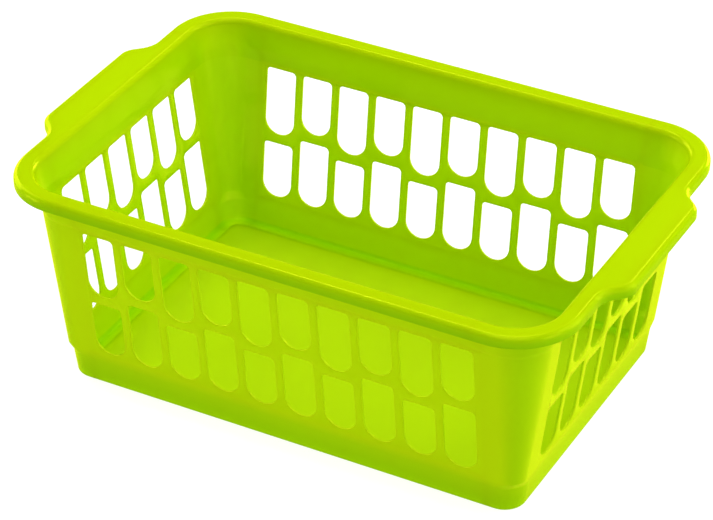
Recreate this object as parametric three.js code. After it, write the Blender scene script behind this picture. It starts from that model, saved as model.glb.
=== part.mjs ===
import * as THREE from "three";

// Plastic storage basket, sizes in mm. It stands on Z = 0, centred, with its long side along X and +Z up.
// Heights stack up from the ground, and lengths build out from the columns of openings.
const wall = 1.5;
const columnPitch = 27;
const barWidth = 5.44;
const longColumns = 10;
const shortColumns = 6;
const openingCorner = 3;
const footBand = 26;
const lowerOpening = 39.4;
const divider = 6.4;
const upperOpening = 47.2;
const stagger = 6.8;
const topBand = 27.7;
const longEndPlain = 35;
const shortEndPlain = 32.6;
// Outward lean of the walls, mm across per mm of height.
const longWallLean = 0.1117;
const shortWallLean = 0.1273;
const wallCorner = 25;
const wallCornerFall = 0.142;
const baseCorner = 14;
const baseCornerFall = 0.1;
const leastCorner = 1;
const panelMargin = 2;
// Shallow steps that set the perforated panels off from the plain bands.
const baseStepDepth = 0.2;
const baseStepHeight = 5;
const baseStepGap = 3.5;
const bandStepDepth = 0.3;
const bandStepHeight = 2;
const bandStepGap = 2;
const footEdge = 1;
const floorFillet = 2.5;
const footLand = 3.5;
const floorThickness = 2;
const floorRecess = 0.8;
const rimReach = 10.5;
// The wall leans out more just under the rim.
const rimFlare = 2.6;
const flareDrop = 18;
const rimThickness = 1.5;
const rimOuterRound = 5.1;
const rimInnerRound = 3.3;
const rimJoint = 0.5;
const lipHeight = 7.4;
const lipThickness = 1.5;
const handleReach = 13;
const handleHalfStraight = 43;
const handleOuterBend = 13;
const handleInnerBend = 17;
const handleTurn = THREE.MathUtils.degToRad(45);
const cornerSteps = 8;
const roundSteps = 4;
const bendSteps = 6;
const footSteps = 10;
const openingCornerSteps = 3;
const plasticRoughness = 0.35;

const openingWidth = columnPitch - barWidth;
const upperTop = footBand + lowerOpening + divider + upperOpening;
const rimTop = upperTop + topBand;
const underRound = Math.max(rimInnerRound - wall, 0);
const wallCut = rimTop - Math.max(rimInnerRound, rimThickness + underRound) - rimJoint;
const lipJoint = Math.max(rimOuterRound, lipThickness) + rimJoint;
const longCut = (longColumns * columnPitch) / 2 + panelMargin;
const shortCut = (shortColumns * columnPitch) / 2 + panelMargin;
const panelBottom = footBand - baseStepGap;
const baseTop = panelBottom - baseStepHeight;
const panelTop = upperTop + bandStepGap;
const bandBottom = panelTop + bandStepHeight;
const flareStart = Math.min(Math.max(rimTop - flareDrop, bandBottom + rimJoint), wallCut - rimJoint);
const floorTop = floorRecess + floorThickness;

// A level of the wall: half length a, half width b and plan corner radius r at height z.
function level(zone, z, inset) {
  const rise = z - upperTop;
  const flare = zone === "band" ? rimFlare * Math.max((z - flareStart) / (rimTop - flareStart), 0) : 0;
  const shift = { base: -baseStepDepth, panel: 0, band: bandStepDepth }[zone] + flare + wall;
  const a = (longColumns * columnPitch) / 2 + longEndPlain + shortWallLean * rise + shift;
  const b = (shortColumns * columnPitch) / 2 + shortEndPlain + longWallLean * rise + shift;
  const leaning = wallCorner + wallCornerFall * rise + Math.max(shift - wall, 0);
  const wanted = zone === "base" ? baseCorner + baseCornerFall * z : leaning;
  const r = Math.min(wanted, a - longCut - leastCorner, b - shortCut - leastCorner);
  return pulledIn({ a, b, r, z }, inset);
}

function pulledIn(v, inset) {
  const r = Math.max(v.r - inset, leastCorner);
  return { a: v.a - inset, b: v.b - inset, r, z: v.z };
}

// A point of the rim's outside, inset k from the face of its drop lip.
function rimLevel(k, z) {
  const face = level("band", rimTop, 0);
  const out = { a: face.a, b: face.b, r: face.r, z };
  return { ...pulledIn(out, k - rimReach), k };
}

// Closed sections, listed round, that the pieces are swept from.
const floorEdge = level("base", 0, wall + floorFillet + footLand);

function footSection() {
  const fillet = Array.from({ length: roundSteps + 1 }, (_, i) => {
    const turn = (i / roundSteps) * (Math.PI / 2);
    const z = floorTop + floorFillet * (1 - Math.sin(turn));
    const run = floorFillet * (1 - Math.cos(turn));
    const top = level("base", floorTop + floorFillet, wall);
    return { ...pulledIn(top, run), z };
  });
  const outer = [
    level("base", 0, footEdge),
    level("base", footEdge, 0),
    level("base", baseTop, 0),
    level("panel", panelBottom, 0),
  ];
  const land = [floorTop, 0].map((z) => ({ ...floorEdge, z }));
  return { outer, inner: [level("base", baseTop, wall), ...fillet, ...land] };
}

function baseSection() {
  const { outer, inner } = footSection();
  return [...outer, level("panel", panelBottom, wall), ...inner];
}

function bandSection() {
  return [
    level("panel", panelTop, 0),
    level("band", bandBottom, 0),
    level("band", flareStart, 0),
    level("band", wallCut, 0),
    level("band", wallCut, wall),
    level("band", flareStart, wall),
    level("band", bandBottom, wall),
    level("panel", panelTop, wall),
  ];
}

function postSection() {
  const { outer, inner } = footSection();
  return [...outer, ...bandSection(), level("panel", panelBottom, wall), ...inner];
}

// Quarter round in steps: share along the run and share of the rise.
function quarterRound(place) {
  return Array.from({ length: roundSteps + 1 }, (_, i) => {
    const turn = (i / roundSteps) * (Math.PI / 2);
    return place(Math.sin(turn), Math.cos(turn));
  });
}

function rimSection() {
  const inner = level("band", rimTop - rimInnerRound, wall);
  const outer = level("band", rimTop - rimThickness - underRound, 0);
  const inside = quarterRound((rise, run) => {
    return { ...pulledIn(inner, -rimInnerRound * (1 - run)), z: inner.z + rimInnerRound * rise };
  });
  const below = quarterRound((rise, run) => {
    return { ...pulledIn(outer, -underRound * (1 - run)), z: outer.z + underRound * rise };
  });
  return [
    rimLevel(lipJoint, rimTop),
    ...inside.reverse(),
    level("band", wallCut, wall),
    level("band", wallCut, 0),
    ...below,
    rimLevel(lipJoint, rimTop - rimThickness),
  ];
}

function lipSection() {
  const bottom = rimTop - lipHeight;
  const centre = rimTop - rimOuterRound;
  const outside = quarterRound((rise, run) => rimLevel(rimOuterRound * (1 - run), centre + rimOuterRound * rise));
  const inside = quarterRound((rise, run) => {
    const k = rimOuterRound - (rimOuterRound - lipThickness) * run;
    return rimLevel(k, centre + (rimOuterRound - rimThickness) * rise);
  });
  return [
    rimLevel(lipJoint, rimTop),
    ...outside.reverse(),
    rimLevel(0, bottom),
    rimLevel(lipThickness, bottom),
    ...inside,
    rimLevel(lipJoint, rimTop - rimThickness),
  ];
}

// Stations carry a section round the basket; signs choose the side or the corner.
function longStations(sy) {
  return [-longCut, longCut].map((x) => (v) => [x, sy * v.b, v.z]);
}

function shortStations(sx) {
  return [-shortCut, shortCut].map((y) => (v) => [sx * v.a, y, v.z]);
}

function cornerStations(sx, sy) {
  const arc = Array.from({ length: cornerSteps + 1 }, (_, i) => {
    const turn = (i / cornerSteps) * (Math.PI / 2);
    return (v) => [
      sx * (v.a - v.r + v.r * Math.sin(turn)),
      sy * (v.b - v.r + v.r * Math.cos(turn)),
      v.z,
    ];
  });
  return [(v) => [sx * longCut, sy * v.b, v.z], ...arc, (v) => [sx * v.a, sy * shortCut, v.z]];
}

// Half of a handle's outer edge in plan: how far it stands out, how far along, and its direction.
function handleEdge() {
  const turn = Math.min(handleTurn, Math.acos(1 - handleReach / (handleOuterBend + handleInnerBend)));
  const bends = (handleOuterBend + handleInnerBend) * (1 - Math.cos(turn));
  const slant = (handleReach - bends) / Math.sin(turn);
  const edge = [];
  for (let i = 0; i <= bendSteps; i++) {
    const at = (i / bendSteps) * turn;
    const out = handleReach - handleOuterBend * (1 - Math.cos(at));
    edge.push({ out, along: handleHalfStraight + handleOuterBend * Math.sin(at), at });
  }
  const last = edge[bendSteps];
  const length = slant * Math.cos(turn) + handleInnerBend * Math.sin(turn);
  for (let i = bendSteps; i >= 0; i--) {
    const at = (i / bendSteps) * turn;
    const out = handleInnerBend * (1 - Math.cos(at));
    edge.push({ out, along: last.along + length - handleInnerBend * Math.sin(at), at });
  }
  return edge;
}

function handleStations(sx) {
  const half = [...handleEdge(), { out: 0, along: shortCut, at: 0 }];
  const edge = [...half.map((e) => ({ ...e, side: -1 })).reverse(), ...half.map((e) => ({ ...e, side: 1 }))];
  const face = rimLevel(0, rimTop).a;
  return edge.map((e) => (v) => {
    if (v.k === undefined) return [sx * v.a, e.side * e.along, v.z];
    const x = face + e.out - v.k * Math.cos(e.at);
    return [sx * x, e.side * (e.along - v.k * Math.sin(e.at)), v.z];
  });
}

function solid(points, faces) {
  const volume = faces.reduce((sum, [i, j, k]) => {
    const [p, q, s] = [i, j, k].map((n) => new THREE.Vector3(...points[n]));
    return sum + p.dot(q.cross(s));
  }, 0);
  const turned = volume < 0 ? faces.map(([i, j, k]) => [i, k, j]) : faces;
  const geometry = new THREE.BufferGeometry();
  geometry.setAttribute("position", new THREE.Float32BufferAttribute(points.flat(), 3));
  geometry.setIndex(turned.flat());
  geometry.computeVertexNormals();
  return geometry;
}

// Triangles that fill an outline and leave its holes, turned the way the outline runs.
function tiled(rings) {
  const flat = rings.map((ring) => ring.map(([u, v]) => new THREE.Vector2(u, v)));
  const tiles = THREE.ShapeUtils.triangulateShape(flat[0], flat.slice(1));
  const corners = flat.flat();
  const covered = tiles.reduce((sum, tile) => sum + THREE.ShapeUtils.area(tile.map((n) => corners[n])), 0);
  const along = covered * THREE.ShapeUtils.area(flat[0]) > 0;
  return along ? tiles : tiles.map(([i, j, k]) => [i, k, j]);
}

// A plate between two faces; its holes run the other way round than its outline.
function plate(rings, place) {
  const pattern = rings.flat();
  const count = pattern.length;
  const points = [...pattern.map((p) => place(p, 0)), ...pattern.map((p) => place(p, 1))];
  const faces = tiled(rings).flatMap(([i, j, k]) => [
    [i, j, k],
    [count + i, count + k, count + j],
  ]);
  let start = 0;
  for (const ring of rings) {
    for (let i = 0; i < ring.length; i++) {
      const p = start + i;
      const q = start + ((i + 1) % ring.length);
      faces.push([q, p, count + p], [q, count + p, count + q]);
    }
    start += ring.length;
  }
  return solid(points, faces);
}

function sweep(section, stations) {
  const count = section.length;
  const points = stations.flatMap((place) => section.map((v) => place(v)));
  const faces = [];
  for (let s = 0; s < stations.length - 1; s++) {
    for (let i = 0; i < count; i++) {
      const next = (i + 1) % count;
      const [p, q, t, u] = [s * count + i, s * count + next, (s + 1) * count + i, (s + 1) * count + next];
      faces.push([p, q, u], [p, u, t]);
    }
  }
  const far = (stations.length - 1) * count;
  for (const [i, j, k] of tiled([section.map((v) => [v.b, v.z])])) {
    faces.push([i, k, j], [far + i, far + j, far + k]);
  }
  return solid(points, faces);
}

// An opening's outline: straight top with small corners above, a full round foot below.
function openingOutline(centre, top, bottom) {
  const half = openingWidth / 2;
  const corner = Math.min(openingCorner, half);
  const outline = [];
  for (let i = 0; i <= openingCornerSteps; i++) {
    const turn = (i / openingCornerSteps) * (Math.PI / 2);
    outline.push([centre + half - corner * (1 - Math.cos(turn)), top - corner * (1 - Math.sin(turn))]);
  }
  for (let i = openingCornerSteps; i >= 0; i--) {
    const turn = (i / openingCornerSteps) * (Math.PI / 2);
    outline.push([centre - half + corner * (1 - Math.cos(turn)), top - corner * (1 - Math.sin(turn))]);
  }
  for (let i = 0; i <= footSteps; i++) {
    const turn = (i / footSteps) * Math.PI;
    outline.push([centre - half * Math.cos(turn), bottom + half * (1 - Math.sin(turn))]);
  }
  return outline.reverse();
}

function openings(columns) {
  return Array.from({ length: columns }, (_, i) => {
    const centre = (i - (columns - 1) / 2) * columnPitch;
    const foot = upperTop - upperOpening + (i % 2 ? stagger : 0);
    return [openingOutline(centre, upperTop, foot), openingOutline(centre, foot - divider, footBand)];
  }).flat();
}

function panel(halfLength, columns, place) {
  const border = [
    [-halfLength, panelBottom],
    [halfLength, panelBottom],
    [halfLength, panelTop],
    [-halfLength, panelTop],
  ];
  return plate([border, ...openings(columns)], place);
}

function longPanel(sy) {
  return panel(longCut, longColumns, ([x, z], side) => [x, sy * level("panel", z, side * wall).b, z]);
}

function shortPanel(sx) {
  return panel(shortCut, shortColumns, ([y, z], side) => [sx * level("panel", z, side * wall).a, y, z]);
}

// The floor plate fills the plan inside the foot's fillet.
function floorPlate() {
  const quarters = [[1, 1], [1, -1], [-1, -1], [-1, 1]].map(([sx, sy]) => {
    const quarter = cornerStations(sx, sy).map((place) => place(floorEdge));
    return sx * sy > 0 ? quarter : quarter.reverse();
  });
  return plate([quarters.flat()], ([x, y], side) => [x, y, floorRecess + side * floorThickness]);
}

const basket = new THREE.Group();

function add(name, geometry, colour) {
  const material = new THREE.MeshStandardMaterial({
    color: colour,
    roughness: plasticRoughness,
    metalness: 0,
  });
  const mesh = new THREE.Mesh(geometry, material);
  mesh.name = name;
  basket.add(mesh);
}

add("floor", floorPlate(), "#a8d402");
for (const [side, sy] of [["front", -1], ["back", 1]]) {
  add(`base_band_${side}`, sweep(baseSection(), longStations(sy)), "#93c801");
  add(`panel_${side}`, longPanel(sy), "#a5cf00");
  add(`upper_band_${side}`, sweep(bandSection(), longStations(sy)), "#93c501");
  add(`rim_${side}`, sweep(rimSection(), longStations(sy)), "#c0e600");
  add(`lip_${side}`, sweep(lipSection(), longStations(sy)), "#8abc00");
}
for (const [side, sx] of [["left", -1], ["right", 1]]) {
  add(`base_band_${side}`, sweep(baseSection(), shortStations(sx)), "#93c801");
  add(`panel_${side}`, shortPanel(sx), "#a5cf00");
  add(`upper_band_${side}`, sweep(bandSection(), shortStations(sx)), "#93c501");
  add(`handle_${side}`, sweep(rimSection(), handleStations(sx)), "#c0e600");
  add(`handle_lip_${side}`, sweep(lipSection(), handleStations(sx)), "#8abc00");
  for (const [end, sy] of [["front", -1], ["back", 1]]) {
    add(`corner_${end}_${side}`, sweep(postSection(), cornerStations(sx, sy)), "#9ccb00");
    add(`rim_corner_${end}_${side}`, sweep(rimSection(), cornerStations(sx, sy)), "#c0e600");
    add(`lip_corner_${end}_${side}`, sweep(lipSection(), cornerStations(sx, sy)), "#8abc00");
  }
}

export default basket;
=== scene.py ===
import math

import bmesh
import bpy
import numpy as np
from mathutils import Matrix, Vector


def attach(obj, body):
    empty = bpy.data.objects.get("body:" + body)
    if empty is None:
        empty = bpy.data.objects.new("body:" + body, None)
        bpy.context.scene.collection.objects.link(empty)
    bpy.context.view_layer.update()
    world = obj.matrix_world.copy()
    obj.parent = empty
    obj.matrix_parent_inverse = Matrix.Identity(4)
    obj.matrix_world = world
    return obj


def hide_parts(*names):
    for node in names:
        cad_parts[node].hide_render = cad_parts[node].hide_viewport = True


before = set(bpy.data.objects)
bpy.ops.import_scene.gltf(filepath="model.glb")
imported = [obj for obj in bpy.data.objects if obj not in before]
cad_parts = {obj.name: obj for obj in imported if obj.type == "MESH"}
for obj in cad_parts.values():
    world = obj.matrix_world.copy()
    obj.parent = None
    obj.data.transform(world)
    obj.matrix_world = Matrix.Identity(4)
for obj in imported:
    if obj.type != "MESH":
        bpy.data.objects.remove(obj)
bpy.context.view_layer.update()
print("frame loaded")

mm = 0.001
mergeReach = 0.001 * mm  # points nearer than this are one

cameraSetup = {
    "place": (0.75881, -1.42704, 1.14780),  # metres, in the basket's frame
    "azimuth": 28.152,
    "elevation": 33.607,
    "lens": 157.02,  # mm
    "sensorWidth": 36,  # mm
    "clipStart": 0.05,  # metres
}


def makeCamera(setup):
    data = bpy.data.cameras.new("studioCamera")
    data.lens = setup["lens"]
    data.sensor_width = setup["sensorWidth"]
    data.clip_start = setup["clipStart"]
    camera = bpy.data.objects.new("studioCamera", data)
    camera.location = setup["place"]
    tilt, turn = math.radians(90 - setup["elevation"]), math.radians(setup["azimuth"])
    camera.rotation_euler = (tilt, 0, turn)
    bpy.context.scene.collection.objects.link(camera)
    bpy.context.scene.camera = camera


def toLinear(code):
    shades = [int(code[i : i + 2], 16) / 255 for i in (1, 3, 5)]
    return [s / 12.92 if s <= 0.04045 else ((s + 0.055) / 1.055) ** 2.4 for s in shades] + [1.0]


def addNode(tree, kind, inputs=None, **settings):
    node = tree.nodes.new(kind)
    for name, value in settings.items():
        setattr(node, name, value)
    for name, value in (inputs or {}).items():
        if isinstance(value, bpy.types.NodeSocket):
            tree.links.new(value, node.inputs[name])
        else:
            node.inputs[name].default_value = value
    return node


def startMaterial(name):
    material = bpy.data.materials.new(name)
    material.use_nodes = True
    material.node_tree.nodes.clear()
    return material, material.node_tree


studio = {
    "floorColour": "#9a9a99",
    "floorGlow": 0.78,  # the floor is lit through like a light table, so its shadows stay faint
    "floorRoughness": 0.9,
    "floorGloss": 0.1,
    "floorReach": 6.0,  # metres
    "world": 0.25,
    "distance": 2.0,  # metres from the origin to each lamp
    "lamps": [  # name, azimuth and elevation in degrees, size in metres, power in watts
        ("leftLowSoftbox", 285, 12, 1.8, 31.0),
        ("leftSoftbox", 285, 40, 1.0, 6.0),
        ("leftFrontSoftbox", 235, 12, 1.0, 12.0),
        ("backSoftbox", 15, 12, 1.0, 22.0),
        ("backRightSoftbox", 60, 40, 1.6, 15.0),
        ("backRightLowSoftbox", 60, 12, 1.0, 9.0),
        ("backTopSoftbox", 335, 68, 1.0, 7.0),
        ("keyLight", 298, 64, 0.45, 4.5),
        ("backLight", 355, 42, 0.45, 2.5),
        ("overheadSoftbox", 0, 90, 1.0, 4.5),
        ("rightSoftbox", 100, 18, 1.0, 8.5),
        ("frontRightSoftbox", 150, 40, 1.6, 5.0),
        ("frontTopSoftbox", 165, 65, 1.5, 9.5),
    ],
}


def makeStudio(setup):
    world = bpy.data.worlds.new("studioWorld")
    world.use_nodes = True
    background = world.node_tree.nodes["Background"]
    background.inputs["Color"].default_value = toLinear("#ffffff")
    background.inputs["Strength"].default_value = setup["world"]
    bpy.context.scene.world = world
    for name, azimuth, elevation, size, power in setup["lamps"]:
        data = bpy.data.lights.new(name, "AREA")
        data.shape = "DISK"
        data.size = size
        data.energy = power
        lamp = bpy.data.objects.new(name, data)
        around, up = math.radians(azimuth), math.radians(elevation)
        level = math.cos(up)
        toward = Vector((math.sin(around) * level, math.cos(around) * level, math.sin(up)))
        lamp.location = toward * setup["distance"]
        lamp.rotation_mode = "QUATERNION"
        lamp.rotation_quaternion = toward.to_track_quat("Z", "Y")
        bpy.context.scene.collection.objects.link(lamp)
    mesh = bpy.data.meshes.new("studioFloor")
    far = setup["floorReach"]
    mesh.from_pydata([(-far, -far, 0), (far, -far, 0), (far, far, 0), (-far, far, 0)], [], [(0, 1, 2, 3)])
    floor = bpy.data.objects.new("studioFloor", mesh)
    bpy.context.scene.collection.objects.link(floor)
    material, tree = startMaterial("palePaintedFloor")
    shader = addNode(
        tree,
        "ShaderNodeBsdfPrincipled",
        {
            "Base Color": toLinear(setup["floorColour"]),
            "Roughness": setup["floorRoughness"],
            "Specular IOR Level": setup["floorGloss"],
            "Emission Color": toLinear("#ffffff"),
            "Emission Strength": setup["floorGlow"],
        },
    )
    addNode(tree, "ShaderNodeOutputMaterial", {"Surface": shader.outputs["BSDF"]})
    mesh.materials.append(material)
    bpy.context.scene.view_settings.view_transform = "Standard"


makeCamera(cameraSetup)
makeStudio(studio)
print("camera, floor and light are set")

plastic = {
    "colour": "#c7e400",
    "paintedLightColour": "#d4f41c",  # painted light on cut edges and the floor plate, as if lit from below
    "paintedShadeColour": "#78be00",  # painted shade on the foot and the lip
    "through": 0.45,  # share of the light that goes on through the thin wall
    "throughColour": "#aae200",  # light that crosses the wall meets more pigment, so it is greener
    "roughness": 0.15,
    "roughnessDrift": 0.03,  # how far the grain takes the roughness up and down
    "gloss": 1.45,  # refraction of the skin, which sets how much it mirrors at each angle
    "shine": "#fffd33",  # the skin's reflections keep the pigment's tint
    "grain": 0.6,  # mm, the fine texture that a spark-eroded mould leaves
    "grainDepth": 0.004,  # mm
    "grainStrength": 0.6,
    "clouding": 55.0,  # mm, slow drift of the pigment along the flow
    "cloudingShare": 0.015,  # how far it takes the brightness up and down
}


# Injection-moulded polypropylene, pigmented right through: a smooth skin with a faint mould grain,
# reflections tinted like the pigment, and thin places that look lighter as light comes through them.
# Painted shade darkens the foot, lip, fillet and inner band, and painted light brightens cut edges and
# the floor plate.
def makePlastic(setup):
    material, tree = startMaterial("mouldedPolypropylene")
    place = addNode(tree, "ShaderNodeTexCoord").outputs["Object"]
    cloud = addNode(
        tree,
        "ShaderNodeTexNoise",
        {"Vector": place, "Scale": 1 / (setup["clouding"] * mm), "Detail": 2.0, "Roughness": 0.4},
    )
    grain = addNode(
        tree,
        "ShaderNodeTexNoise",
        {"Vector": place, "Scale": 1 / (setup["grain"] * mm), "Detail": 2.0, "Roughness": 0.5},
    )
    drift = addNode(
        tree,
        "ShaderNodeMapRange",
        {
            "Value": cloud.outputs["Fac"],
            "From Min": 0.3,
            "From Max": 0.7,
            "To Min": 1 - setup["cloudingShare"],
            "To Max": 1 + setup["cloudingShare"],
        },
    )
    # depth carries the painted light and shade: below 0 it mixes in the painted light colour, above 0 the
    # painted shade colour
    depth = addNode(tree, "ShaderNodeAttribute", attribute_name="depth").outputs["Fac"]
    body = toLinear(setup["colour"])
    for side, other in ((-1.0, setup["paintedLightColour"]), (1.0, setup["paintedShadeColour"])):
        share = addNode(tree, "ShaderNodeMapRange", {"Value": depth, "From Max": side})
        mixed = addNode(
            tree,
            "ShaderNodeMix",
            {"Factor": share.outputs["Result"], "A": body, "B": toLinear(other)},
            data_type="RGBA",
        )
        body = mixed.outputs["Result"]
    hue = {"Color": body, "Value": drift.outputs["Result"]}
    tone = addNode(tree, "ShaderNodeHueSaturation", hue)
    gloss = addNode(
        tree,
        "ShaderNodeMapRange",
        {
            "Value": grain.outputs["Fac"],
            "To Min": setup["roughness"] - setup["roughnessDrift"],
            "To Max": setup["roughness"] + setup["roughnessDrift"],
        },
    )
    bump = addNode(
        tree,
        "ShaderNodeBump",
        {
            "Height": grain.outputs["Fac"],
            "Distance": setup["grainDepth"] * mm,
            "Strength": setup["grainStrength"],
        },
    )
    shader = addNode(
        tree,
        "ShaderNodeBsdfPrincipled",
        {
            "Base Color": tone.outputs["Color"],
            "Roughness": gloss.outputs["Result"],
            "Normal": bump.outputs["Normal"],
            "Specular IOR Level": 0.0,
        },
    )
    glow = addNode(tree, "ShaderNodeBsdfTranslucent", {"Color": toLinear(setup["throughColour"])})
    thin = addNode(
        tree,
        "ShaderNodeMixShader",
        {0: setup["through"], 1: shader.outputs["BSDF"], 2: glow.outputs["BSDF"]},
    )
    skin = addNode(
        tree,
        "ShaderNodeBsdfAnisotropic",
        {
            "Color": toLinear(setup["shine"]),
            "Roughness": gloss.outputs["Result"],
            "Normal": bump.outputs["Normal"],
        },
    )
    mirror = {"IOR": setup["gloss"], "Normal": bump.outputs["Normal"]}
    sheen = addNode(tree, "ShaderNodeFresnel", mirror)
    coated = addNode(
        tree,
        "ShaderNodeMixShader",
        {0: sheen.outputs["Fac"], 1: thin.outputs["Shader"], 2: skin.outputs["BSDF"]},
    )
    addNode(tree, "ShaderNodeOutputMaterial", {"Surface": coated.outputs["Shader"]})
    return material


polypropylene = makePlastic(plastic)

# The moulding's sizes, in mm, as in the solids.
basket = {
    "wall": 1.5,
    "pitch": 27.0,
    "barWidth": 5.44,
    "longColumns": 10,
    "shortColumns": 6,
    "openingCorner": 3.0,  # at an opening's top, as its foot is a half circle
    "footBand": 26.0,  # from the floor to the lower openings
    "lowerOpening": 39.4,
    "divider": 6.4,
    "upperOpening": 47.2,
    "stagger": 6.8,
    "topBand": 27.7,  # from the upper openings to the top of the rim
    "longEndPlain": 35.0,  # plain wall from the last column to the end of a long side
    "shortEndPlain": 32.6,
    "longWallLean": 0.1117,  # outward for each mm of height
    "shortWallLean": 0.1273,
    "wallCorner": 25.0,  # radius level with the top of the openings
    "wallCornerFall": 0.142,  # how much smaller it gets for each mm down
    "baseCorner": 14.0,  # radius at the floor
    "baseCornerFall": 0.1,
    "panelMargin": 2.0,  # how far a panel reaches past its last column
    "baseStep": 0.2,  # how far the base band is set in
    "baseStepHeight": 5.0,
    "baseStepGap": 3.5,
    "footWidth": 6.0,  # from the inside of the wall to the floor plate
    "footRound": 1.2,
    "floorTop": 2.8,
    "floorUnder": 0.8,
    "floorRound": 2.5,
    "bandStep": 0.3,  # how far the upper band stands out
    "bandStepHeight": 2.0,
    "bandStepGap": 2.0,
    "lowStepRound": 2.0,
    "highStepRound": 0.8,
    "insideRound": 0.5,
    "openingSteps": 12,
    "openingEdge": 0.28,  # rounding of the openings' edges
    "openingEdgeSteps": 2,
}
upperTop = basket["footBand"] + basket["lowerOpening"] + basket["divider"] + basket["upperOpening"]
rimTop = upperTop + basket["topBand"]
longCut = basket["longColumns"] * basket["pitch"] / 2 + basket["panelMargin"]
shortCut = basket["shortColumns"] * basket["pitch"] / 2 + basket["panelMargin"]
panelBottom = basket["footBand"] - basket["baseStepGap"]
baseTop = panelBottom - basket["baseStepHeight"]
panelTop = upperTop + basket["bandStepGap"]
bandBottom = panelTop + basket["bandStepHeight"]
bandWall = basket["wall"] + basket["bandStep"]
slack = 0.01  # mm, to tell which part of a section a point is on

# The folded rim and the grips that it widens into, in mm.
rim = {
    "reach": 10.5,
    "flare": 2.6,  # the wall leans out more just under the rim
    "flareDrop": 18.0,
    "flareRound": 30.0,
    "thickness": 1.5,
    "outerRound": 5.1,
    "innerRound": 3.3,
    "joint": 0.5,
    "lipHeight": 7.4,
    "lipThickness": 1.5,
    "lipInsideRound": 0.4,
    "lipOutsideRound": 0.5,
    "handleReach": 13.0,
    "handleHalf": 43.0,
    "outerBend": 13.0,
    "innerBend": 17.0,
    "turn": 45,  # degrees
    "bendSteps": 12,
    "bendLead": 1.0,  # straight edge next to each bend
}
wallCut = rimTop - rim["innerRound"] - rim["joint"]
flareStart = rimTop - rim["flareDrop"]


# A section point is (b, z, e): half width of the basket, height, and the plan centre of its corner.
def wallPoint(zone, z, inset=0.0):
    rise = z - upperTop
    shift = {"base": -basket["baseStep"], "panel": 0.0, "band": basket["bandStep"]}[zone]
    if zone == "band":
        shift += rim["flare"] * max(0.0, (z - flareStart) / rim["flareDrop"])
    inner = shortCut - basket["panelMargin"] + basket["shortEndPlain"] + basket["longWallLean"] * rise
    outer = inner + basket["wall"] + shift
    if zone == "base":
        corner = basket["baseCorner"] + basket["baseCornerFall"] * z
    else:
        corner = basket["wallCorner"] + basket["wallCornerFall"] * rise + shift
    return (outer - inset, z, outer - corner)


# How much further out the short walls stand than the long ones.
def lengthExtra(z):
    ends = (basket["longColumns"] - basket["shortColumns"]) * basket["pitch"] / 2
    ends += basket["longEndPlain"] - basket["shortEndPlain"]
    return ends + (basket["shortWallLean"] - basket["longWallLean"]) * (z - upperTop)


# Rounds the corners of a closed section; each corner is (point, radius, steps). A point just off each
# rounding keeps the shading flat beyond it. A rounding has nearly half of a side that it shares with
# another, and nearly all of one that it has to itself.
def softened(corners, support=0.25):
    sharedSide, ownSide = 0.48, 0.98
    result = []
    count = len(corners)
    for i, (point, radius, steps) in enumerate(corners):
        here = np.array(point, float)
        before = np.array(corners[i - 1][0], float) - here
        after = np.array(corners[(i + 1) % count][0], float) - here
        runBefore, runAfter = np.hypot(*before[:2]), np.hypot(*after[:2])
        if radius <= 0:
            result.append(here)
            continue
        inward, outward = before[:2] / runBefore, after[:2] / runAfter
        opening = math.acos(max(-1.0, min(1.0, float(inward @ outward))))
        freeBefore = runBefore * (sharedSide if corners[i - 1][1] > 0 else ownSide)
        freeAfter = runAfter * (sharedSide if corners[(i + 1) % count][1] > 0 else ownSide)
        reach = min(radius / math.tan(opening / 2), freeBefore, freeAfter)
        start, stop = here + before * (reach / runBefore), here + after * (reach / runAfter)
        if reach + support < freeBefore:
            result.append(here + before * ((reach + support) / runBefore))
        middle = (inward + outward) / np.hypot(*(inward + outward))
        bend = reach * math.tan(opening / 2)
        centre = here[:2] + middle * (bend / math.sin(opening / 2))
        first, last = start[:2] - centre, stop[:2] - centre
        sweep = math.pi - opening
        turnSign = 1 if first[0] * last[1] - first[1] * last[0] > 0 else -1
        for k in range(steps + 1):
            turn = turnSign * sweep * k / steps
            spin = np.array([[math.cos(turn), -math.sin(turn)], [math.sin(turn), math.cos(turn)]])
            share = k / steps
            plan = start[2] * (1 - share) + stop[2] * share
            result.append(np.append(centre + spin @ first, plan))
        if reach + support < freeAfter:
            result.append(here + after * ((reach + support) / runAfter))
    return result


footInner = wallPoint("base", 0, basket["wall"] + basket["footWidth"])
floorTop = basket["floorTop"]


def footOuter():
    return [
        (wallPoint("base", 0), basket["footRound"], 4),
        (wallPoint("base", baseTop), basket["lowStepRound"], 3),
        (wallPoint("panel", panelBottom), 0.0, 1),
    ]


# The steps show on the outside only.
def footReturn():
    wall = basket["wall"] - basket["baseStep"]
    edge, _, centre = footInner
    return [
        (wallPoint("base", baseTop, wall), basket["insideRound"], 1),
        ((wallPoint("base", floorTop, wall)[0], floorTop, centre), basket["floorRound"], 6),
        ((edge, floorTop, centre), 0.0, 1),
        ((edge, 0.0, centre), 0.0, 1),
    ]


def bandSection():
    return [
        (wallPoint("panel", panelTop), 0.0, 1),
        (wallPoint("band", bandBottom), basket["highStepRound"], 3),
        (wallPoint("band", flareStart), rim["flareRound"], 4),
        (wallPoint("band", wallCut), 0.0, 1),
        (wallPoint("band", wallCut, bandWall), 0.0, 1),
        (wallPoint("band", flareStart, bandWall), rim["flareRound"], 4),
        (wallPoint("band", bandBottom, bandWall), basket["insideRound"], 1),
        (wallPoint("panel", panelTop, basket["wall"]), 0.0, 1),
    ]


def baseSection():
    return [*footOuter(), (wallPoint("panel", panelBottom, basket["wall"]), 0.0, 1), *footReturn()]


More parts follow.
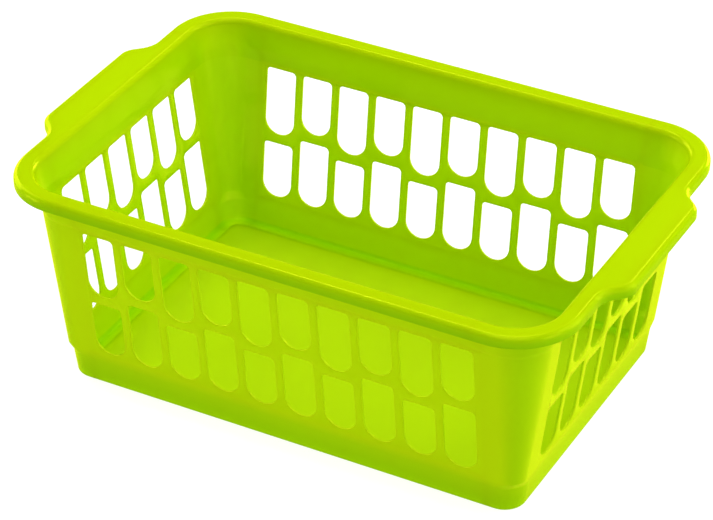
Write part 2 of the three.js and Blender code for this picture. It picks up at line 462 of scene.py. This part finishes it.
def postSection():
    wall, inside = basket["wall"], basket["insideRound"]
    return [
        *footOuter()[:2],
        (wallPoint("panel", panelBottom), basket["lowStepRound"], 3),
        (wallPoint("panel", panelTop), basket["highStepRound"], 3),
        *bandSection()[1:7],
        (wallPoint("panel", panelTop, wall), inside, 3),
        (wallPoint("panel", panelBottom, wall), inside, 3),
        *footReturn(),
    ]


# A point of the rim, set in from the face of its lip.
def rimPoint(inset, z):
    face, _, centre = wallPoint("band", rimTop)
    return (face + rim["reach"] - inset, z, centre)


def rimSection():
    under = rimTop - rim["thickness"]
    joint = rim["outerRound"] + rim["joint"]
    return [
        (rimPoint(joint, rimTop), 0.0, 1),
        (wallPoint("band", rimTop, bandWall), rim["innerRound"], 12),
        (wallPoint("band", wallCut, bandWall), 0.0, 1),
        (wallPoint("band", wallCut), 0.0, 1),
        (wallPoint("band", under), rim["innerRound"] - bandWall, 6),
        (rimPoint(joint, under), 0.0, 1),
    ]


def lipSection():
    low, under = rimTop - rim["lipHeight"], rimTop - rim["thickness"]
    joint = rim["outerRound"] + rim["joint"]
    return [
        (rimPoint(joint, rimTop), 0.0, 1),
        (rimPoint(joint, under), 0.0, 1),
        (rimPoint(rim["lipThickness"], under), rim["outerRound"] - rim["lipThickness"], 6),
        (rimPoint(rim["lipThickness"], low), rim["lipInsideRound"], 3),
        (rimPoint(0, low), rim["lipOutsideRound"], 3),
        (rimPoint(0, rimTop), rim["outerRound"], 12),
    ]


# Half of a grip's outline, from its middle: how far out, how far along, and how far it has turned.
def handleEdge():
    turn, reach, steps = math.radians(rim["turn"]), rim["handleReach"], rim["bendSteps"]
    outerBend, innerBend = rim["outerBend"], rim["innerBend"]
    bends = (outerBend + innerBend) * (1 - math.cos(turn))
    slant = (reach - bends) / math.sin(turn)
    edge = [(reach, 0.0, 0.0), (reach, rim["handleHalf"] - rim["bendLead"], 0.0)]
    for i in range(steps + 1):
        at = turn * i / steps
        out = reach - outerBend * (1 - math.cos(at))
        edge.append((out, rim["handleHalf"] + outerBend * math.sin(at), at))
    along = edge[-1][1] + slant * math.cos(turn) + innerBend * math.sin(turn)
    for i in range(steps, -1, -1):
        at = turn * i / steps
        edge.append((innerBend * (1 - math.cos(at)), along - innerBend * math.sin(at), at))
    return [*edge, (0.0, along + rim["bendLead"], 0.0), (0.0, shortCut, 0.0)]


# A station places a section point (b, z, e) in space; a piece is swept from one station to the next.
def longStations(side):
    return [lambda p, x=x: (x, side * p[0], p[1]) for x in (-longCut, longCut)]


def shortStations(side):
    ends = (-shortCut, shortCut)
    return [lambda p, y=y: (side * (p[0] + lengthExtra(p[1])), y, p[1]) for y in ends]


cornerLead = 0.6  # mm of straight wall next to each round corner
cornerSteps = 24


def cornerStations(sideX, sideY):
    def at(run, turn):
        def place(p):
            b, z, e = p
            r = b - e
            x = e + lengthExtra(z) + r * math.sin(turn) - run * (turn == 0)
            y = e + r * math.cos(turn) - run * (turn > 0)
            return (sideX * x, sideY * y, z)

        return place

    arc = [at(0, math.pi / 2 * i / cornerSteps) for i in range(cornerSteps + 1)]
    return [
        lambda p: (sideX * longCut, sideY * p[0], p[1]),
        at(cornerLead, 0),
        *arc,
        at(cornerLead, math.pi / 2),
        lambda p: (sideX * (p[0] + lengthExtra(p[1])), sideY * shortCut, p[1]),
    ]


def handleStations(side):
    edge = handleEdge()
    both = [(out, -along, at, -1) for out, along, at in reversed(edge[1:])]
    both += [(out, along, at, 1) for out, along, at in edge]
    face = rimPoint(0, rimTop)[0]
    bent = rim["outerRound"] + rim["joint"] + slack  # past this, next to the wall, the rim is straight

    def at(out, along, turn, end):
        def place(p):
            b, z, _ = p
            inset = face - b
            if inset > bent:
                return (side * (b + lengthExtra(z)), along, z)
            edgeOut = face + lengthExtra(rimTop) + out
            x = edgeOut - inset * math.cos(turn)
            return (side * x, along - end * inset * math.sin(turn), z)

        return place

    return [at(*e) for e in both]


# Painted light and shade, kept in the depth attribute: 1 paints the deepest shade, -1 paints light as if
# it came through the wall.
paintedShading = {
    "foot": 0.72,
    "footTop": 0.36,
    "plateEdge": 0.45,  # painted shade where the base band meets the floor plate
    "fillet": 0.85,
    "baseInside": -0.65,
    "band": 0.25,
    "bendOutside": 0.4,
    "bendInside": -0.35,
    "lip": 0.8,
    "openingEdge": -0.4,
    "floor": [(0, 0.45), (3, -0.1), (9, -0.3), (22, -0.4)],  # mm in from its edge, and depth there: painted shade by the walls, painted light in the middle
}
pastMiddle = 0.7  # of the wall's thickness, beyond which a point of the base is inside


def addPaintedShading(mesh, domain, values):
    layer = mesh.attributes.new("depth", "FLOAT", domain)
    layer.data.foreach_set("value", np.array(values, np.float32))


# Painted shade on the foot, the fillet and the plate edge, and painted light on the base's inside.
def footPaintedShading(point):
    b, z = point[:2]
    if b < footInner[0] + slack:
        return paintedShading["plateEdge"]
    if z > panelBottom - slack:
        return 0.0
    if b < wallPoint("base", z, basket["wall"] * pastMiddle)[0]:
        rise = (z - floorTop) / basket["floorRound"]
        if rise < 1 + slack:
            return paintedShading["fillet"] * (1 - rise**2)
        return paintedShading["baseInside"] * (1 - z / panelBottom)
    if z > baseTop:
        return paintedShading["footTop"] * (panelBottom - z) / basket["baseStepHeight"]
    return paintedShading["foot"] + (paintedShading["footTop"] - paintedShading["foot"]) * z / baseTop


# Painted shade on the inside of the upper band.
def bandPaintedShade(point):
    b, z = point[:2]
    inside = b < wallPoint("band", z, bandWall / 2)[0]
    return paintedShading["band"] if inside and panelTop + slack < z < wallCut + slack else 0.0


# Painted shade and light of a corner post: the foot's and the band's together.
def postPaintedShading(point):
    return footPaintedShading(point) + bandPaintedShade(point)


# Painted shade on a round corner's outside and painted light on its inside, added at its middle.
def bendPaintedShading(point):
    b, z = point[:2]
    zone = "band" if z > panelTop + slack else "panel"
    if b < wallPoint(zone, z, basket["wall"] / 2)[0]:
        return paintedShading["bendInside"]
    return paintedShading["bendOutside"] if z > baseTop + basket["lowStepRound"] / 2 else 0.0


# Painted shade on the lip, growing down over its outer bend.
def lipPaintedShade(point):
    inset, drop = rimPoint(0, rimTop)[0] - point[0], rimTop - point[1]
    bend = rim["outerRound"]
    onBend = drop < bend and math.hypot(bend - inset, bend - drop) > bend - rim["thickness"] / 2
    onDrop = drop >= bend and inset < rim["lipThickness"] / 2
    return paintedShading["lip"] * min(1.0, drop / bend) if onBend or onDrop else 0.0


sharpAngle = 24  # degrees


def finishPiece(name, mesh, nodes):
    work = bmesh.new()
    work.from_mesh(mesh)
    bmesh.ops.remove_doubles(work, verts=work.verts, dist=mergeReach)
    bmesh.ops.recalc_face_normals(work, faces=work.faces)
    work.to_mesh(mesh)
    work.free()
    mesh.shade_smooth()
    mesh.set_sharp_from_angle(angle=math.radians(sharpAngle))
    piece = bpy.data.objects.new(name, mesh)
    bpy.context.scene.collection.objects.link(piece)
    mesh.materials.clear()
    mesh.materials.append(polypropylene)
    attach(piece, "root")
    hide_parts(*nodes)


# depth and bend give each section point its painted light and shade.
def sweepPiece(name, section, stations, node, depth, bend=None):
    section = softened(section)
    count = len(section)
    points = [tuple(c * mm for c in place(p)) for place in stations for p in section]
    faces = []
    for s in range(len(stations) - 1):
        for i in range(count):
            j = (i + 1) % count
            here, there = s * count, (s + 1) * count
            faces.append((here + i, here + j, there + j, there + i))
    last = (len(stations) - 1) * count
    faces.append(tuple(range(count)))
    faces.append(tuple(last + i for i in reversed(range(count))))
    mesh = bpy.data.meshes.new(name)
    mesh.from_pydata(points, [], faces)
    tones = []
    for s in range(len(stations)):
        turned = min(1, max(0, (s - 2) / cornerSteps))  # a corner's arc starts at its third station
        tones += [depth(p) + (math.sin(math.pi * turned) * bend(p) if bend else 0.0) for p in section]
    addPaintedShading(mesh, "POINT", tones)
    finishPiece(name, mesh, [node])


sides = {"front": -1, "back": 1, "left": -1, "right": 1}
for side in ("front", "back"):
    run = longStations(sides[side])
    sweepPiece(f"baseBand_{side}", baseSection(), run, f"base_band_{side}", footPaintedShading)
    sweepPiece(f"upperBand_{side}", bandSection(), run, f"upper_band_{side}", bandPaintedShade)
    sweepPiece(f"rim_top_{side}", rimSection(), run, f"rim_{side}", bandPaintedShade)
    sweepPiece(f"rim_lip_{side}", lipSection(), run, f"lip_{side}", lipPaintedShade)
for side in ("left", "right"):
    run, grip = shortStations(sides[side]), handleStations(sides[side])
    sweepPiece(f"baseBand_{side}", baseSection(), run, f"base_band_{side}", footPaintedShading)
    sweepPiece(f"upperBand_{side}", bandSection(), run, f"upper_band_{side}", bandPaintedShade)
    sweepPiece(f"handle_top_{side}", rimSection(), grip, f"handle_{side}", bandPaintedShade)
    sweepPiece(f"handle_drop_{side}", lipSection(), grip, f"handle_lip_{side}", lipPaintedShade)
    for end in ("front", "back"):
        turn, place = cornerStations(sides[side], sides[end]), f"{end}_{side}"
        sweepPiece(f"cornerWall_{place}", postSection(), turn, f"corner_{place}", postPaintedShading, bendPaintedShading)
        sweepPiece(f"rim_bend_{place}", rimSection(), turn, f"rim_corner_{place}", bandPaintedShade)
        sweepPiece(f"lip_bend_{place}", lipSection(), turn, f"lip_corner_{place}", lipPaintedShade)
print("walls, rim and handles are swept")


# One rule lays out the staggered openings of all four perforated walls.
def buildPerforatedWall():
    tree = bpy.data.node_groups.new("perforatedWall", "GeometryNodeTree")
    tree.is_modifier = True
    kinds = {
        "Geometry": ["Geometry"],
        "Int": ["Columns", "Phase"],
        "Float": ["Pitch", "Opening Width", "Shoulder Radius", "Upper Height", "Lower Height"]
        + ["Divider", "Stagger", "Upper Top", "Half Length", "Panel Bottom", "Panel Top"]
        + ["Wall", "Face", "Lean", "Turn"],
        "Material": ["Plastic"],
    }
    for kind, names in kinds.items():
        for name in names:
            tree.interface.new_socket(name, in_out="INPUT", socket_type=f"NodeSocket{kind}")
    tree.interface.new_socket("Geometry", in_out="OUTPUT", socket_type="NodeSocketGeometry")
    given = addNode(tree, "NodeGroupInput").outputs
    nearlyHalf = 0.4999  # of the width, so that the two arcs of a round end don't quite meet

    def maths(operation, first, second=0.0):
        return addNode(tree, "ShaderNodeMath", {0: first, 1: second}, operation=operation).outputs[0]

    def isMore(first, second):
        compared = {0: first, 1: second}
        return addNode(tree, "FunctionNodeCompare", compared, operation="GREATER_THAN").outputs[0]

    def vector(x=0.0, y=0.0, z=0.0):
        return addNode(tree, "ShaderNodeCombineXYZ", {"X": x, "Y": y, "Z": z}).outputs[0]

    def lifted(shape, middle):
        moved = {"Geometry": shape, "Translation": vector(0.0, middle)}
        return addNode(tree, "GeometryNodeTransform", moved).outputs[0]

    def rectangle(width, height):
        size = {"Width": width, "Height": height}
        return addNode(tree, "GeometryNodeCurvePrimitiveQuadrilateral", size).outputs[0]

    def opening(height, top):
        place = addNode(tree, "GeometryNodeInputPosition").outputs[0]
        above = isMore(addNode(tree, "ShaderNodeSeparateXYZ", {0: place}).outputs["Y"], 0.0)
        foot = maths("MULTIPLY", given["Opening Width"], nearlyHalf)
        radius = addNode(
            tree,
            "GeometryNodeSwitch",
            {"Switch": above, "False": foot, "True": given["Shoulder Radius"]},
            input_type="FLOAT",
        ).outputs[0]
        rounded = addNode(
            tree,
            "GeometryNodeFilletCurve",
            {
                "Curve": rectangle(given["Opening Width"], height),
                "Radius": radius,
                "Count": basket["openingSteps"],
            },
            mode="POLY",
        )
        return lifted(rounded.outputs[0], maths("SUBTRACT", top, maths("MULTIPLY", height, 0.5)))

    reach = maths("MULTIPLY", maths("SUBTRACT", given["Columns"], 1.0), given["Pitch"])
    line = addNode(
        tree,
        "GeometryNodeMeshLine",
        {
            "Count": given["Columns"],
            "Start Location": vector(maths("MULTIPLY", reach, -0.5)),
            "Offset": vector(given["Pitch"]),
        },
        mode="OFFSET",
    ).outputs[0]
    index = addNode(tree, "GeometryNodeInputIndex").outputs[0]
    odd = maths("MODULO", maths("ADD", index, given["Phase"]), 2.0)
    layout = []
    for chosen, raised in ((isMore(0.5, odd), 0.0), (isMore(odd, 0.5), 1.0)):
        lift = maths("MULTIPLY", given["Stagger"], raised)
        upper = maths("SUBTRACT", given["Upper Height"], lift)
        lower = maths("ADD", given["Lower Height"], lift)
        lowerTop = maths("SUBTRACT", maths("SUBTRACT", given["Upper Top"], upper), given["Divider"])
        for outline in (opening(upper, given["Upper Top"]), opening(lower, lowerTop)):
            copies = addNode(
                tree,
                "GeometryNodeInstanceOnPoints",
                {"Points": line, "Selection": chosen, "Instance": outline},
            )
            real = addNode(tree, "GeometryNodeRealizeInstances", {0: copies.outputs[0]})
            layout.append(real.outputs[0])
    tallness = maths("SUBTRACT", given["Panel Top"], given["Panel Bottom"])
    middle = maths("MULTIPLY", maths("ADD", given["Panel Top"], given["Panel Bottom"]), 0.5)
    sheetEdge = rectangle(maths("MULTIPLY", given["Half Length"], 2.0), tallness)
    layout.append(lifted(sheetEdge, middle))
    curves = addNode(tree, "GeometryNodeJoinGeometry")
    for outline in layout:
        tree.links.new(outline, curves.inputs[0])
    sheet = addNode(tree, "GeometryNodeFillCurve", {"Curve": curves.outputs[0]}).outputs[0]
    depth = vector(0.0, 0.0, maths("MULTIPLY", given["Wall"], -1.0))
    sunk = addNode(
        tree,
        "GeometryNodeExtrudeMesh",
        {"Mesh": sheet, "Offset": depth, "Offset Scale": 1.0, "Individual": False},
        mode="FACES",
    ).outputs[0]
    back = addNode(tree, "GeometryNodeFlipFaces", {"Mesh": sheet}).outputs[0]
    both = addNode(tree, "GeometryNodeJoinGeometry")
    tree.links.new(sunk, both.inputs[0])
    tree.links.new(back, both.inputs[0])
    merged = {"Geometry": both.outputs[0], "Distance": mergeReach}
    closed = addNode(tree, "GeometryNodeMergeByDistance", merged)
    position = addNode(tree, "GeometryNodeInputPosition").outputs[0]
    along = addNode(tree, "ShaderNodeSeparateXYZ", {0: position}).outputs
    rimmed = 0.5 * mm  # the sheet's own edge, within this, stays sharp
    across = maths("ABSOLUTE", along["X"])
    angle = addNode(tree, "GeometryNodeInputMeshEdgeAngle").outputs[0]
    cutAngle = 1.0  # radians
    edge = maths("GREATER_THAN", angle, cutAngle)
    for test in (
        maths("LESS_THAN", across, maths("SUBTRACT", given["Half Length"], rimmed)),
        maths("GREATER_THAN", along["Y"], maths("ADD", given["Panel Bottom"], rimmed)),
        maths("LESS_THAN", along["Y"], maths("SUBTRACT", given["Panel Top"], rimmed)),
    ):
        edge = maths("MULTIPLY", edge, test)
    marked = addNode(
        tree,
        "GeometryNodeStoreNamedAttribute",
        {"Geometry": closed.outputs[0], "Name": "bevel_weight_edge", "Value": edge},
        data_type="FLOAT",
        domain="EDGE",
    ).outputs[0]
    rise = maths("MULTIPLY", maths("SUBTRACT", along["Y"], given["Upper Top"]), given["Lean"])
    face = maths("ADD", maths("ADD", given["Face"], rise), along["Z"])
    standing = addNode(
        tree,
        "GeometryNodeSetPosition",
        {"Geometry": marked, "Position": vector(along["X"], face, along["Y"])},
    ).outputs[0]
    turned = addNode(
        tree,
        "GeometryNodeTransform",
        {"Geometry": standing, "Rotation": vector(0.0, 0.0, given["Turn"])},
    ).outputs[0]
    real = addNode(tree, "GeometryNodeRealizeInstances", {0: turned}).outputs[0]
    painted = {"Geometry": real, "Material": given["Plastic"]}
    coated = addNode(tree, "GeometryNodeSetMaterial", painted).outputs[0]
    addNode(tree, "NodeGroupOutput", {"Geometry": coated})
    return tree


def setInputs(modifier, values):
    for item in modifier.node_group.interface.items_tree:
        if item.item_type == "SOCKET" and item.in_out == "INPUT" and item.name in values:
            modifier[item.identifier] = values[item.name]


perforatedWall = buildPerforatedWall()


# A panel stands along x at first and is turned to its side in degrees; phase shifts the stagger.
def perforatedPanel(side, isLong, turn, phase):
    name = f"perforatedWall_{side}"
    columns = basket["longColumns"] if isLong else basket["shortColumns"]
    lean = basket["longWallLean"] if isLong else basket["shortWallLean"]
    face = wallPoint("panel", upperTop)[0] + (0 if isLong else lengthExtra(upperTop))
    base = bpy.data.objects.new(name, bpy.data.meshes.new(name))
    bpy.context.scene.collection.objects.link(base)
    nodes = base.modifiers.new("openings", "NODES")
    nodes.node_group = perforatedWall
    values = {
        "Columns": columns,
        "Phase": phase,
        "Pitch": basket["pitch"] * mm,
        "Opening Width": (basket["pitch"] - basket["barWidth"]) * mm,
        "Shoulder Radius": basket["openingCorner"] * mm,
        "Upper Height": basket["upperOpening"] * mm,
        "Lower Height": basket["lowerOpening"] * mm,
        "Divider": basket["divider"] * mm,
        "Stagger": basket["stagger"] * mm,
        "Upper Top": upperTop * mm,
        "Half Length": (longCut if isLong else shortCut) * mm,
        "Panel Bottom": panelBottom * mm,
        "Panel Top": panelTop * mm,
        "Wall": basket["wall"] * mm,
        "Face": face * mm,
        "Lean": lean,
        "Turn": math.radians(turn),
        "Plastic": polypropylene,
    }
    setInputs(nodes, values)
    bevel = base.modifiers.new("softEdges", "BEVEL")
    bevel.limit_method = "WEIGHT"
    bevel.width = basket["openingEdge"] * mm
    bevel.segments = basket["openingEdgeSteps"]
    bpy.context.view_layer.update()
    depsgraph = bpy.context.evaluated_depsgraph_get()
    mesh = bpy.data.meshes.new_from_object(base.evaluated_get(depsgraph))
    bpy.data.objects.remove(base)
    finishPiece(name, mesh, [f"panel_{side}"])
    spin = math.radians(turn)
    outward = Vector((-math.sin(spin), math.cos(spin), -lean)).normalized()
    alongWall = 0.9  # a face whose normal agrees less than this with the wall's own is a cut edge
    # Cut edges of the openings get painted light, as if light came through them.
    isCut = [abs(polygon.normal.dot(outward)) < alongWall for polygon in mesh.polygons]
    addPaintedShading(mesh, "FACE", [paintedShading["openingEdge"] * cut for cut in isCut])


perforatedPanel("back", True, 0, 0)
perforatedPanel("front", True, 180, 1)
perforatedPanel("left", False, 90, 0)
perforatedPanel("right", False, -90, 1)
print("perforated walls are cut")


# Rings of points, drawn in toward the middle, carry the floor plate's painted shade by the walls and
# painted light in its middle.
def floorPiece():
    edge = []
    for sideX, sideY in ((1, 1), (1, -1), (-1, -1), (-1, 1)):
        quarter = [place(footInner)[:2] for place in cornerStations(sideX, sideY)]
        edge += quarter if sideX * sideY > 0 else quarter[::-1]
    halfX, halfY = (max(p[i] for p in edge) for i in (0, 1))
    count = len(edge)
    points, tones = [], []
    for z in (basket["floorUnder"], floorTop):
        for inset, tone in paintedShading["floor"]:
            narrow, shallow = 1 - inset / halfX, 1 - inset / halfY
            points += [(x * narrow * mm, y * shallow * mm, z * mm) for x, y in edge]
            tones += [tone] * count
    rings = len(paintedShading["floor"])
    layer = rings * count
    faces = []
    for i in range(count):
        j = (i + 1) % count
        faces.append((i, layer + i, layer + j, j))
        for ring in range(rings - 1):
            near, far = ring * count, (ring + 1) * count
            faces.append((near + i, near + j, far + j, far + i))
            near, far = near + layer, far + layer
            faces.append((near + j, near + i, far + i, far + j))
    inner = layer - count
    faces.append(tuple(inner + i for i in range(count)))
    faces.append(tuple(layer + inner + i for i in reversed(range(count))))
    mesh = bpy.data.meshes.new("floorPlate")
    mesh.from_pydata(points, [], faces)
    addPaintedShading(mesh, "POINT", tones)
    finishPiece("floorPlate", mesh, ["floor"])


floorPiece()
print("floor is laid")
